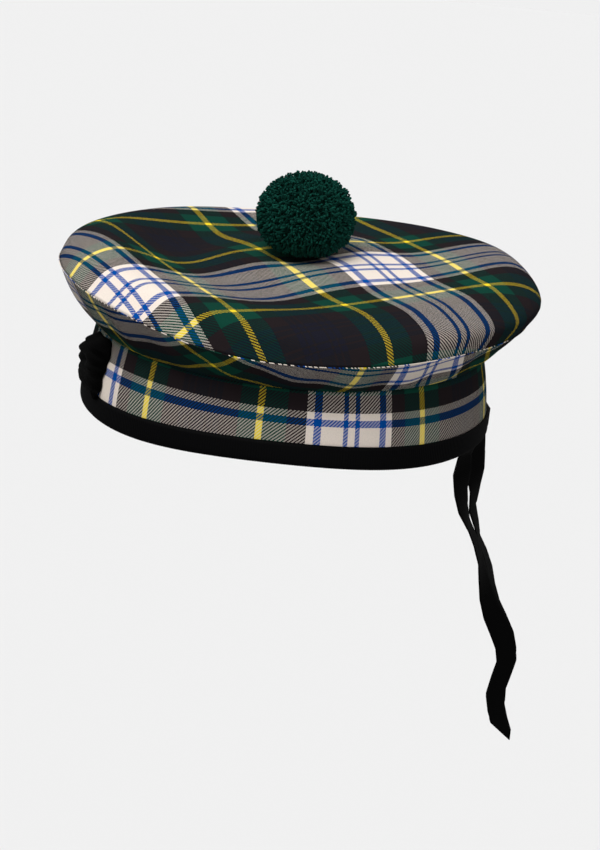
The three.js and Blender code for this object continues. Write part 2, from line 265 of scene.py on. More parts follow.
class RibbonSettings(bpy.types.PropertyGroup):
    """Black ribbon of the binding, cockade and tails."""

    binding: colour_property("Binding", 0x050506, "Colour of the rim binding")
    tail: colour_property("Tails", 0x020202, "Colour of the tails")
    cockade: colour_property("Cockade", 0x010101, "Colour of the cockade")
    width: length_property("Tail width", 11.5, "Width of a hanging ribbon")
    rib: length_property("Rib", 1.1, "Distance from one woven rib to the next")


class PompomSettings(bpy.types.PropertyGroup):
    """Wool yarn of the pompom."""

    dark: colour_property("Dark wool", 0x0C3029, "Colour of the darkest yarn ends")
    light: colour_property("Light wool", 0x13483D, "Colour of the lightest yarn ends")
    spacing: length_property("Yarn spacing", 0.85, "Least distance between yarn ends")
    yarn_length: length_property("Yarn length", 4.2, "Length of the yarn ends that stand out")
    yarn_radius: length_property("Yarn radius", 0.5, "Radius of a yarn end at its thickest")
    seed: count_property("Seed", 7, "Scatter of the yarn ends")


class StageSettings(bpy.types.PropertyGroup):
    """Floor, light and camera."""

    floor: colour_property("Floor", 0xE0E0E0, "Colour of the floor")
    backdrop: colour_property("Backdrop", 0xF0F0F0, "Colour of the backdrop above the floor")
    floor_drop: length_property("Floor drop", 900, "How far the floor lies below the rim")
    sky: strength_property("Sky light", 0.42, "Strength of the even light from above")
    bounce: strength_property("Bounce light", 0.2, "Strength of the even light from below")
    key: strength_property("Key light", 2.6, "Strength of the soft light from the front left")
    fill: strength_property("Fill light", 0.68, "Strength of the weak light from the camera's side")


def onto_ring(bearing, radius, height):
    """Points in the hat's frame from bearings, radii and heights."""
    angle = np.radians(bearing)
    radius, height, angle = np.broadcast_arrays(radius, height, angle)
    return np.stack([radius * np.cos(angle), radius * np.sin(angle), height], axis=-1)


def round_table(values, bearing):
    """Smooth value at a bearing, from values that are evenly spaced round the hat."""
    values = np.asarray(values, float)
    place = np.mod(bearing, 360.0) / 360.0 * len(values)
    first = np.floor(place).astype(int)
    share = place - first
    before, here, after, beyond = (values[(first + step) % len(values)] for step in (-1, 0, 1, 2))
    slope = (after - before) / 2
    bend = before - 2.5 * here + 2 * after - 0.5 * beyond
    turn = 1.5 * (here - after) + 0.5 * (beyond - before)
    return here + share * (slope + share * (bend + share * turn))


def smooth_share(start, stop, value):
    """Rises smoothly from 0 at start to 1 at stop."""
    share = np.clip((value - start) / (stop - start), 0, 1)
    return share**2 * (3 - 2 * share)


def unit(vectors):
    """Vectors of length 1 in the same directions."""
    return vectors / np.linalg.norm(vectors, axis=-1, keepdims=True)


def smooth_line(points, per_span=40):
    """Smooth curve through points, paced by the square roots of their distances."""
    points = np.asarray(points, float)
    padded = np.vstack([2 * points[0] - points[1], points, 2 * points[-1] - points[-2]])
    share = np.linspace(0, 1, per_span, endpoint=False)[:, None]
    spans = []
    for before, here, after, beyond in zip(padded, padded[1:], padded[2:], padded[3:]):
        pairs = ((before, here), (here, after), (after, beyond))
        lead, span, trail = (np.linalg.norm(far - near) ** 0.5 for near, far in pairs)
        start = ((here - before) / lead - (after - before) / (lead + span) + (after - here) / span) * span
        end = ((after - here) / span - (beyond - here) / (span + trail) + (beyond - after) / trail) * span
        square = 3 * (after - here) - 2 * start - end
        cube = 2 * (here - after) + start + end
        spans.append(here + share * (start + share * (square + share * cube)))
    return np.vstack([*spans, points[-1:]])


def lengths_along(line):
    """Distance from the start of a line to each of its points."""
    steps = np.linalg.norm(np.diff(line, axis=0), axis=1)
    return np.concatenate([[0.0], np.cumsum(steps)])


def evenly(line, count, along):
    """The line again, as count + 1 points an even distance apart, from the lengths along it."""
    places = np.linspace(0, along[-1], count + 1)
    return np.stack([np.interp(places, along, column) for column in line.T], axis=-1)


def there_and_back(values, axis=0):
    """Values along a section's inside, then again for the outside, which runs back."""
    return np.concatenate([values, np.flip(values, axis)], axis=axis)


def left_of(profile):
    """Unit vectors to the left of a profile's run, which is the cloth's outside."""
    along = unit(np.gradient(profile, axis=-2))
    return np.stack([-along[..., 1], along[..., 0]], axis=-1)


def band_top(bearing):
    return round_table(BAND_TOPS, bearing)


def band_radius(bearing, height):
    rise = np.clip(height / band_top(bearing), 0, 1)
    return BAND_FOOT_RADIUS - (BAND_FOOT_RADIUS - BAND_TOP_RADIUS) * rise**2


def rim_wave(bearing, height):
    """How far the soft rim rises; the band's upper edge takes none of it."""
    wave = RIM_WAVE_DEPTH * np.cos(RIM_WAVE_COUNT * np.radians(bearing - RIM_WAVE_BEARING))
    return (RIM_LIFT + wave) * (1 - np.clip(height / band_top(bearing), 0, 1))


def top_profile(bearing, steps):
    """Radii and heights of the top panel from its middle to the edge seam."""
    at = {column: float(round_table(values, bearing)) for column, values in CROWN.items()}
    line = smooth_line(
        (
            (0, CROWN_CENTRE_HEIGHT),
            (INNER_RADIUS / 2, (CROWN_CENTRE_HEIGHT + at["inner_z"]) / 2 + CROWN_RING_RISE),
            (INNER_RADIUS, at["inner_z"]),
            (at["crest_r"], at["crest_z"]),
            (at["puff_r"], at["puff_z"]),
            (at["seam_r"], at["seam_z"]),
        )
    )
    profile = evenly(line, steps, lengths_along(line))
    profile[:, 1] -= DIMPLE_DEPTH * np.exp(-((profile[:, 0] / DIMPLE_RADIUS) ** 2))
    return profile


def under_profile(bearing, steps, crown):
    """Radii and heights of the under panel from the edge seam to the headband."""
    seam = np.array([round_table(CROWN[column], bearing) for column in ("seam_r", "seam_z")])
    foot = np.array([BAND_TOP_RADIUS + CLEARANCE, band_top(bearing) + CLEARANCE])
    along = unit(foot - seam)
    outward = np.array([-along[1], along[0]])
    handle = (seam + foot) / 2 + outward * 2 * round_table(CROWN["belly"], bearing)
    share = np.linspace(0, 1, steps + 1)[:, None]
    profile = (1 - share) ** 2 * seam + 2 * share * (1 - share) * handle + share**2 * foot
    wave = np.cos(crown.gather_count * math.radians(bearing))
    gather = crown.gather_depth / MM * np.sin(np.pi * share) * wave
    return profile + gather * left_of(profile)


def seam_mitre(top, under):
    """Where the inner corner of the edge seam lies, and the way each panel leaves the seam."""
    seam = top[-1]
    up_top = unit(top[-2] - seam)
    down_under = unit(under[1] - seam)
    top_outward = np.array([up_top[1], -up_top[0]])
    under_outward = np.array([-down_under[1], down_under[0]])
    outward = unit(top_outward + under_outward)
    share = outward @ top_outward
    corner = seam - outward * CLOTH_WALL / share
    gap = CLEARANCE / (2 * share)
    return corner, up_top * gap, down_under * gap


def linked(name, data):
    """A new object of the scene."""
    item = bpy.data.objects.new(name, data)
    bpy.context.scene.collection.objects.link(item)
    return item


def mesh_object(name, points, faces, material, map_name=None, corner_values=()):
    """A piece from points in millimetres, welded and facing outwards, with a map of its face corners."""
    mesh = bpy.data.meshes.new(name)
    mesh.from_pydata((np.asarray(points) * MM).tolist(), [], faces)
    if map_name:
        layer = mesh.uv_layers.new(name=map_name)
        layer.data.foreach_set("uv", np.asarray(corner_values, np.float32).ravel())
    work = bmesh.new()
    work.from_mesh(mesh)
    bmesh.ops.remove_doubles(work, verts=work.verts, dist=WELD * MM)
    bmesh.ops.recalc_face_normals(work, faces=work.faces)
    for face in work.faces:
        face.smooth = len(face.verts) <= 4
    work.to_mesh(mesh)
    work.free()
    mesh.materials.append(material)
    return linked(name, mesh)


def grid_faces(rows, columns, closed):
    """Corners of the quads between rings of points. A closed grid joins its last ring to its first."""
    row = np.arange(rows if closed else rows - 1)[:, None]
    column = np.arange(columns)[None, :]
    below = (row + 1) % rows
    beside = (column + 1) % columns
    places = ((row, column), (below, column), (below, beside), (row, beside))
    corners = [ring * columns + place for ring, place in places]
    return np.stack(np.broadcast_arrays(*corners), axis=-1).reshape(-1, 4)


def ring_piece(name, rows, map_name, values, material):
    """A piece whose sections close round it. A map with one section more than the piece ends at a seam."""
    faces = grid_faces(*rows.shape[:2], True)
    corners = grid_faces(*values.shape[:2], len(values) == len(rows))
    corner_values = values.reshape(-1, 2)[corners.ravel()]
    return mesh_object(name, rows.reshape(-1, 3), faces.tolist(), material, map_name, corner_values)


def finish_piece(piece, slot, *nodes):
    """Hangs a piece on the frame in place of its solids."""
    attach(piece, BODY)
    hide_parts(*nodes)


class Nodes:
    """Adds nodes to a tree and joins them."""

    def __init__(self, tree):
        self.tree = tree

    def add(self, kind, inputs=None, **settings):
        node = self.tree.nodes.new(kind)
        for name, value in settings.items():
            setattr(node, name, value)
        for name, value in (inputs or {}).items():
            self.put(node.inputs[name], value)
        return node

    def put(self, socket, value):
        if isinstance(value, bpy.types.NodeSocket):
            self.tree.links.new(value, socket)
        else:
            socket.default_value = value

    def math(self, operation, *values):
        node = self.add("ShaderNodeMath", operation=operation)
        for socket, value in zip(node.inputs, values):
            self.put(socket, value)
        return node.outputs[0]

    def blend(self, factor, first, second, blend_type="MIX"):
        node = self.add("ShaderNodeMix", data_type="RGBA", blend_type=blend_type)
        for socket, value in zip((node.inputs[0], node.inputs[6], node.inputs[7]), (factor, first, second)):
            self.put(socket, value)
        return node.outputs[2]


def new_material(name, colour, roughness, specular):
    """A material with its even shader values set, and its nodes ready to be joined."""
    material = bpy.data.materials.new(name)
    material.use_nodes = True
    material.diffuse_color = (*colour, 1)
    nodes = Nodes(material.node_tree)
    shader = material.node_tree.nodes["Principled BSDF"]
    shader.inputs["Base Color"].default_value = (*colour, 1)
    shader.inputs["Roughness"].default_value = roughness
    shader.inputs["Specular IOR Level"].default_value = specular
    return material, nodes, shader


def shade_and_bump(nodes, shader, colour, shade, bump, height):
    """Joins a colour, made lighter or darker by a shade, and bumps of a height to a shader."""
    tone = nodes.add("ShaderNodeCombineColor", {"Red": shade, "Green": shade, "Blue": shade})
    nodes.put(shader.inputs["Base Color"], nodes.blend(1.0, colour, tone.outputs[0], "MULTIPLY"))
    bumps = nodes.add("ShaderNodeBump", {**bump, "Height": height})
    nodes.put(shader.inputs["Normal"], bumps.outputs[0])


# The twill: a warp thread lies over two weft threads and under the next two, and a thread shows its own
# colour where it is rounder than "crown"; nearer its edges the darker of the two crossing yarns shows,
# partly as the yarn beneath and partly as painted shade in the gap. Heather, painted groove shade, wear and
# the like are a gain and a base
TWILL = {"repeat": 4.0, "over": 2, "crown": 0.59, "gloss": 0.04}
TWILL_FIBRES = {"Scale": 1.7, "Detail": 4.0}
TWILL_HEATHER = (0.3, 0.85)
# Painted shade between the twill's threads, a little lighter on their crowns: a gain and a base
TWILL_GROOVE_SHADE = (0.22, 0.82)
TWILL_BUMP = {"Strength": 0.35, "Distance": 0.00012}
# The black ribbon: its cross threads in millimetres, their height beside a rib's, and its even roughness
RIBBON = {"thread": 0.35, "thread_height": 0.25, "roughness": 0.62}
RIBBON_NOISE = {"Scale": 0.9, "Detail": 4.0}
RIBBON_WEAR = (0.5, 0.75)
# Painted shade in the grooves between the ribs, a little lighter on their crests: a gain and a base
RIBBON_GROOVE_SHADE = (0.12, 0.95)
RIBBON_ROUGHNESS = (0.2, 0.55)
RIBBON_BUMP = {"Strength": 0.5, "Distance": 0.00008}
RIBBON_GLOSS = {"binding": 0.05, "tail": 0.05, "cockade": 0.025}
# Cut wool: the fineness of its fibres, and how much they lighten or darken a yarn end
WOOL_GLOSS = 0.03
WOOL_FIBRES = {"Scale": 2600.0, "Detail": 3.0}
WOOL_MIX = (0.6, -0.3)
WOOL_BUMP = {"Strength": 0.6, "Distance": 0.0002}


def sett_colour(nodes, settings, place):
    """Colour of the yarn at a place across the sett, in millimetres from the middle of the white block."""
    ramp = nodes.add("ShaderNodeValToRGB")
    ramp.color_ramp.interpolation = "CONSTANT"
    reach = 0.0
    for index, (yarn, width) in enumerate(HALF_SETT):
        stops = ramp.color_ramp.elements
        stop = stops[index] if index < 2 else stops.new(reach / HALF_SETT_WIDTH)
        stop.position = reach / HALF_SETT_WIDTH
        stop.color = (*getattr(settings, yarn), 1)
        reach += width
    folded = nodes.math("PINGPONG", place, HALF_SETT_WIDTH)
    nodes.put(ramp.inputs[0], nodes.math("DIVIDE", folded, HALF_SETT_WIDTH))
    return ramp.outputs[0]


def tartan_material(name, settings):
    """Two-and-two twill: warp and weft stripes cross, and the threads take turns on top."""
    material, nodes, shader = new_material(name, settings.green, 1.0, TWILL["gloss"])
    cloth = nodes.add("ShaderNodeAttribute", attribute_name="cloth").outputs["Vector"]
    parts = nodes.add("ShaderNodeSeparateXYZ", {"Vector": cloth})
    across, along = parts.outputs[0], parts.outputs[1]
    thread = settings.thread / MM
    counts = [nodes.math("DIVIDE", place, thread) for place in (across, along)]
    warp_index, weft_index = (nodes.math("FLOOR", count) for count in counts)
    warp_round, weft_round = (
        nodes.math("SINE", nodes.math("MULTIPLY", nodes.math("FRACT", count), math.pi)) for count in counts
    )
    step = nodes.math("FLOORED_MODULO", nodes.math("SUBTRACT", warp_index, weft_index), TWILL["repeat"])
    warp_up = nodes.math("LESS_THAN", step, TWILL["over"] - 0.5)
    chosen_round = nodes.add("ShaderNodeMix", data_type="FLOAT")
    for socket, value in zip((0, 2, 3), (warp_up, weft_round, warp_round)):
        nodes.put(chosen_round.inputs[socket], value)
    roundness = chosen_round.outputs[0]
    warp, weft = (sett_colour(nodes, settings, place) for place in (across, along))
    # Towards a thread's edges the darker of the two crossing yarns shows: partly the yarn beneath, partly
    # painted shade in the gap
    gap_yarn_and_shade = nodes.blend(1.0, warp, weft, "DARKEN")
    crown_of_yarn = nodes.add(
        "ShaderNodeMapRange",
        {"Value": roundness, "From Min": TWILL["crown"], "From Max": 1.0},
        interpolation_type="SMOOTHSTEP",
    )
    yarn = nodes.blend(crown_of_yarn.outputs[0], gap_yarn_and_shade, nodes.blend(warp_up, weft, warp))
    fibres = nodes.add("ShaderNodeTexNoise", {"Vector": cloth, **TWILL_FIBRES})
    heather = nodes.math("MULTIPLY_ADD", fibres.outputs["Fac"], *TWILL_HEATHER)
    # Painted shade in the grooves between threads, from each thread's roundness
    groove_shade = nodes.math("MULTIPLY_ADD", roundness, *TWILL_GROOVE_SHADE)
    shade_and_bump(nodes, shader, yarn, nodes.math("MULTIPLY", heather, groove_shade), TWILL_BUMP, roundness)
    return material


def ribbon_material(name, colour, rib, gloss):
    """Ribbed ribbon: fine woven ribs across its width, with painted shade in their grooves, and unevenly
    worn.
    """
    material, nodes, shader = new_material(name, colour, RIBBON["roughness"], gloss)
    ribs = nodes.add("ShaderNodeAttribute", attribute_name="ribs").outputs["Vector"]
    parts = nodes.add("ShaderNodeSeparateXYZ", {"Vector": ribs})
    rib_height, thread_height = (
        nodes.math("SINE", nodes.math("MULTIPLY", place, 2 * math.pi / spacing))
        for place, spacing in zip(parts.outputs, (rib / MM, RIBBON["thread"]))
    )
    height = nodes.math("MULTIPLY_ADD", thread_height, RIBBON["thread_height"], rib_height)
    noise = nodes.add("ShaderNodeTexNoise", {"Vector": ribs, **RIBBON_NOISE}).outputs["Fac"]
    wear = nodes.math("MULTIPLY_ADD", noise, *RIBBON_WEAR)
    # Painted shade in the grooves between the ribs
    groove_shade = nodes.math("MULTIPLY_ADD", rib_height, *RIBBON_GROOVE_SHADE)
    nodes.put(shader.inputs["Roughness"], nodes.math("MULTIPLY_ADD", noise, *RIBBON_ROUGHNESS))
    shade_and_bump(nodes, shader, (*colour, 1), nodes.math("MULTIPLY", wear, groove_shade), RIBBON_BUMP, height)
    return material


def wool_material(name, settings):
    """Cut wool yarn, each end a little lighter or darker than the next."""
    material, nodes, shader = new_material(name, settings.dark, 1.0, WOOL_GLOSS)
    shade = nodes.add("ShaderNodeAttribute", attribute_name="yarn_shade")
    place = nodes.add("ShaderNodeTexCoord").outputs["Object"]
    fibres = nodes.add("ShaderNodeTexNoise", {"Vector": place, **WOOL_FIBRES}).outputs["Fac"]
    mixed = nodes.math("MULTIPLY_ADD", fibres, *WOOL_MIX)
    factor = nodes.math("ADD", shade.outputs["Fac"], mixed)
    clamped = nodes.add("ShaderNodeClamp", {"Value": factor})
    colour = nodes.blend(clamped.outputs[0], (*settings.dark, 1), (*settings.light, 1))
    nodes.put(shader.inputs["Base Color"], colour)
    bumps = nodes.add("ShaderNodeBump", {**WOOL_BUMP, "Height": fibres})
    nodes.put(shader.inputs["Normal"], bumps.outputs[0])
    return material


def shared_material(name, make, *details):
    """The material of that name, made the first time it is asked for."""
    return bpy.data.materials.get(name) or make(name, *details)


def tartan():
    return shared_material("tartan twill", tartan_material, bpy.context.scene.bonnet_tartan)


def black_ribbon(piece):
    """The ribbon of the binding, the tails or the cockade."""
    settings = bpy.context.scene.bonnet_ribbon
    details = (getattr(settings, piece), settings.rib, RIBBON_GLOSS[piece])
    return shared_material(piece + " ribbon", ribbon_material, *details)


# The camera's place, fitted to the photograph's outline, in millimetres and degrees
CAMERA = {"bearing": -17.0, "elevation": 15.6, "roll": 5.6, "distance": 750.0, "right": 7.5, "up": -7.8}
PICTURE_LONG_SIDE = 850
FOCAL_PIXELS = 1586
SENSOR = 36.0
# The nearest and the furthest that the camera sees, in metres
CLIP = (0.01, 1000)
FLOOR_REACH = 300000
FLOOR_ROUGHNESS = 0.9
# How far the lights from above and below run into each other at the horizon
HORIZON_BLUR = 0.15
KEY_LIGHT = {"bearing": -60, "elevation": 64, "spread": 40}
FILL_LIGHT = {"bearing": 0, "elevation": -2, "spread": 40}


class BONNET_OT_stage(bpy.types.Operator):
    """Adds the pale floor, the soft light and the camera"""

    bl_idname = "bonnet.stage"
    bl_label = "Stage"

    def execute(self, context):
        settings = context.scene.bonnet_stage
        self.add_camera(context)
        self.add_floor(settings)
        self.add_light(context, settings)
        return {"FINISHED"}

    def add_camera(self, context):
        turn, tilt, roll = (math.radians(CAMERA[key]) for key in ("bearing", "elevation", "roll"))
        back = Vector((math.cos(tilt) * math.cos(turn), math.cos(tilt) * math.sin(turn), math.sin(tilt)))
        level = Vector((-math.sin(turn), math.cos(turn), 0))
        upright = back.cross(level)
        right = math.cos(roll) * level + math.sin(roll) * upright
        up = math.cos(roll) * upright - math.sin(roll) * level
        eye = back * CAMERA["distance"] + right * CAMERA["right"] + up * CAMERA["up"]
        lens = bpy.data.cameras.new("camera")
        lens.sensor_width = SENSOR
        lens.lens = SENSOR * FOCAL_PIXELS / PICTURE_LONG_SIDE
        lens.clip_start, lens.clip_end = CLIP
        camera = linked("camera", lens)
        axes = Matrix((right, up, back)).transposed().to_4x4()
        camera.matrix_world = Matrix.Translation(eye * MM) @ axes
        context.scene.camera = camera

    def add_floor(self, settings):
        drop = -settings.floor_drop / MM
        ways = ((-1, -1), (1, -1), (1, 1), (-1, 1))
        corners = [(x * FLOOR_REACH, y * FLOOR_REACH, drop) for x, y in ways]
        pale = new_material("pale floor", settings.floor, FLOOR_ROUGHNESS, 0.0)[0]
        floor = mesh_object("floor", corners, [(0, 1, 2, 3)], pale)
        floor.visible_diffuse = False
        floor.visible_glossy = False
        floor.visible_shadow = False

    def add_light(self, context, settings):
        """A pale sky over a dimmer bounce from below, a soft key light and a weak fill."""
        world = bpy.data.worlds.new("studio")
        world.use_nodes = True
        nodes = Nodes(world.node_tree)
        place = nodes.add("ShaderNodeTexCoord")
        parts = nodes.add("ShaderNodeSeparateXYZ", {"Vector": place.outputs["Generated"]})
        rise = nodes.add(
            "ShaderNodeMapRange",
            {
                "Value": parts.outputs[2],
                "From Min": -HORIZON_BLUR,
                "From Max": HORIZON_BLUR,
                "To Min": settings.bounce,
                "To Max": settings.sky,
            },
        )
        light = nodes.add("ShaderNodeBackground", {"Color": (1, 1, 1, 1), "Strength": rise.outputs[0]})
        seen = nodes.add("ShaderNodeBackground", {"Color": (*settings.backdrop, 1), "Strength": 1.0})
        path = nodes.add("ShaderNodeLightPath")
        mixed = nodes.add("ShaderNodeMixShader", {"Fac": path.outputs["Is Camera Ray"]})
        nodes.put(mixed.inputs[1], light.outputs[0])
        nodes.put(mixed.inputs[2], seen.outputs[0])
        nodes.put(world.node_tree.nodes["World Output"].inputs["Surface"], mixed.outputs[0])
        context.scene.world = world
        context.scene.view_settings.view_transform = "Standard"
        self.add_lamp("key light", KEY_LIGHT, settings.key)
        self.add_lamp("fill light", FILL_LIGHT, settings.fill)

    def add_lamp(self, name, place, strength):
        lamp = bpy.data.lights.new(name, "SUN")
        lamp.energy = strength
        lamp.angle = math.radians(place["spread"])
        tilt = math.radians(place["elevation"])
        towards = Vector(onto_ring(place["bearing"], math.cos(tilt), math.sin(tilt)))
        linked(name, lamp).matrix_world = towards.to_track_quat("Z", "Y").to_matrix().to_4x4()


TAIL_STEPS = 150
TAIL_ACROSS = 8
TAIL_THICKNESS = 0.55
# The slanted end cut: how far the end reaches at each place across the ribbon, from edge to edge
TAIL_CUT = {"side": (-1, 0.5, 1), "reach": (-9.5, 7.6, 2.6), "fade": 18}


class BONNET_OT_tails(bpy.types.Operator):
    """Hangs the two ribbon tails from the back of the rim"""

    bl_idname = "bonnet.tails"
    bl_label = "Ribbon tails"

    def execute(self, context):
        ribbon = context.scene.bonnet_ribbon
        for name, route in (("ribbon_tail_near", TAIL_NEAR), ("ribbon_tail_far", TAIL_FAR)):
            self.add_tail(name, np.array(route, float), ribbon)
        return {"FINISHED"}

    def add_tail(self, name, route, ribbon):
        line = evenly(route, TAIL_STEPS, lengths_along(route[:, :3]))
        centre, turns = line[:, :3], line[:, 3]
        along = unit(np.gradient(centre, axis=0))
        across = onto_ring(turns, 1, 0)
        across = unit(across - along * np.sum(across * along, axis=1)[:, None])
        thick = np.cross(along, across)
        side = there_and_back(np.linspace(-1, 1, TAIL_ACROSS + 1))
        face = np.repeat((1, -1), TAIL_ACROSS + 1)
        lengths = lengths_along(centre)
        width = ribbon.width / MM
        cut = np.interp(side, TAIL_CUT["side"], TAIL_CUT["reach"])
        slide = np.clip((lengths - lengths[-1]) / TAIL_CUT["fade"] + 1, 0, 1)
        points = (
            centre[:, None, :]
            + across[:, None, :] * (side * width / 2)[None, :, None]
            + thick[:, None, :] * (face * TAIL_THICKNESS / 2)[None, :, None]
            + along[:, None, :] * (slide[:, None] * cut[None, :])[:, :, None]
        )
        rows, columns = points.shape[:2]
        ends = [list(range(columns)), list(range((rows - 1) * columns, rows * columns))[::-1]]
        faces = grid_faces(rows, columns, False).tolist() + ends
        ribs = np.stack(np.broadcast_arrays(lengths[:, None], side[None, :] * width / 2), axis=-1)
        corner_ribs = ribs.reshape(-1, 2)[np.concatenate(faces)]
        points = points.reshape(-1, 3)
        piece = mesh_object(name + "_ribbon", points, faces, black_ribbon("tail"), "ribs", corner_ribs)
        finish_piece(piece, "black_ribbon", name)


CROWN_BEARINGS = 320
TOP_STEPS = 72
UNDER_STEPS = 28
# How far the edge seam's puckers reach into the top panel
PUCKER_REACH = 5.0


def planar_cloth(bearing, distance, grain, pulls=()):
    """Cloth coordinates of points on a panel cut flat, at a distance from its middle along the cloth."""
    angle = np.radians(bearing - grain["bearing"])
    across = distance * np.cos(angle) - grain["x"]
    along = distance * np.sin(angle) - grain["y"]
    flat = np.stack([across, along], axis=-1)
    cloth = flat / grain["scale"]
    for x, y, reach, pull_across, pull_along in pulls:
        share = np.exp(-np.sum((flat - (x, y)) ** 2, axis=-1) / reach**2)
        cloth = cloth + share[..., None] * (pull_across, pull_along)
    return cloth


class BONNET_OT_crown(bpy.types.Operator):
    """Builds the crown's top and under panels"""

    bl_idname = "bonnet.crown"
    bl_label = "Crown"

    def execute(self, context):
        crown = context.scene.bonnet_crown
        top_panel, under_panel = ([], []), ([], [])
        for bearing in np.arange(CROWN_BEARINGS) * 360.0 / CROWN_BEARINGS:
            top = top_profile(bearing, TOP_STEPS)
            under = under_profile(bearing, UNDER_STEPS, crown)
            corner, top_gap, under_gap = seam_mitre(top, under)
            wall = self.top_wall(bearing, top, corner, top_gap, crown)
            self.add_section(top_panel, bearing, wall, lengths_along(top), TOP_GRAIN, TOP_PULLS)
            wall = self.under_wall(under, corner, under_gap)
            cut = UNDER_CUT["ring"] - UNDER_CUT["ease"] * lengths_along(under)
            self.add_section(under_panel, bearing, wall, cut, UNDER_GRAIN)
        for node, (rows, cloth) in (("crown_top", top_panel), ("crown_under", under_panel)):
            panel = ring_piece(node + "_cloth", np.array(rows), "cloth", np.array(cloth), tartan())
            finish_piece(panel, "tartan_cloth", node)
        return {"FINISHED"}

    def top_wall(self, bearing, profile, corner, gap, crown):
        """Outside and inside of the top panel's wall, puckered along the edge seam."""
        outward = left_of(profile)
        inside = profile - outward * CLOTH_WALL
        inside[0] = (0, profile[0, 1] - CLOTH_WALL)
        inside[-1] = corner + gap
        reach = lengths_along(profile)
        pucker = math.cos(crown.pucker_count * math.radians(bearing)) * crown.pucker_depth / MM
        fade = np.exp(-(((reach[-1] - reach) / PUCKER_REACH) ** 2))
        outside = profile + outward * (pucker * fade)[:, None]
        outside[-1] += gap
        return outside, inside

    def under_wall(self, profile, corner, gap):
        """Outside and inside of the under panel's wall, whose foot lies level on the headband."""
        outward = left_of(profile)
        inside = profile - outward * CLOTH_WALL
        inside[0] = corner + gap
        inside[-1] = (profile[-1, 0] - CLOTH_WALL / outward[-1, 0], profile[-1, 1])
        outside = np.vstack([profile[0] + gap, profile[1:]])
        return outside, inside

    def add_section(self, panel, bearing, wall, distance, grain, pulls=()):
        """Adds one section of a wall to a panel, with the place of each of its points on the cloth."""
        outside, inside = wall
        section = np.vstack([inside, outside[::-1]])
        panel[0].append(onto_ring(bearing, section[:, 0], section[:, 1]))
        panel[1].append(planar_cloth(bearing, there_and_back(distance), grain, pulls))


BAND_BEARINGS = 320
BAND_STEPS = 24
BAND_SEAM_BEARING = 150


class BONNET_OT_headband(bpy.types.Operator):
    """Builds the upright headband"""

    bl_idname = "bonnet.headband"
    bl_label = "Headband"

    def execute(self, context):
        bearings = BAND_SEAM_BEARING + np.arange(BAND_BEARINGS + 1) * 360.0 / BAND_BEARINGS
        share = np.linspace(1, 0, BAND_STEPS + 1)[None, :]
        top = band_top(bearings)[:, None]
        height = BAND_FOOT + (top - BAND_FOOT) * share
        radius = band_radius(bearings[:, None], height)
        lift = rim_wave(bearings[:, None], height)
        outside = onto_ring(bearings[:, None], radius, height + lift)
        inside = onto_ring(bearings[:, None], radius - BAND_WALL, height + lift)
        rows = np.concatenate([inside, outside[:, ::-1]], axis=1)[:-1]
        mean_radius = (BAND_FOOT_RADIUS + BAND_TOP_RADIUS) / 2
        around = np.radians(bearings - 360 - BAND_GRAIN["bearing"]) * mean_radius / BAND_GRAIN["scale"]
        around = around + sum(
            pull * np.exp(-(((around - middle) / reach) ** 2)) for middle, reach, pull in BAND_PULLS
        )
        bow = BAND_BOW["depth"] * (1 - np.cos(2 * np.radians(bearings - BAND_BOW["bearing"])))
        above = height - BINDING_HEIGHT
        foot = BAND_GRAIN["height"] - bow[:, None] * smooth_share(0, BAND_BOW["settles"], above)
        rise = above / BAND_GRAIN["rise_scale"] + foot
        cloth = np.stack(np.broadcast_arrays(around[:, None], rise), axis=-1)
        band = ring_piece("headband_cloth", rows, "cloth", there_and_back(cloth, 1), tartan())
        finish_piece(band, "tartan_cloth", "headband")
        return {"FINISHED"}


BINDING_BEARINGS = 1080
BINDING_SIDE_POINTS = 6
# Turns at which the fold under the rim has its points
BINDING_FOLD = np.radians((30, 60, 90))
BINDING_RIB_DEPTH = 0.05


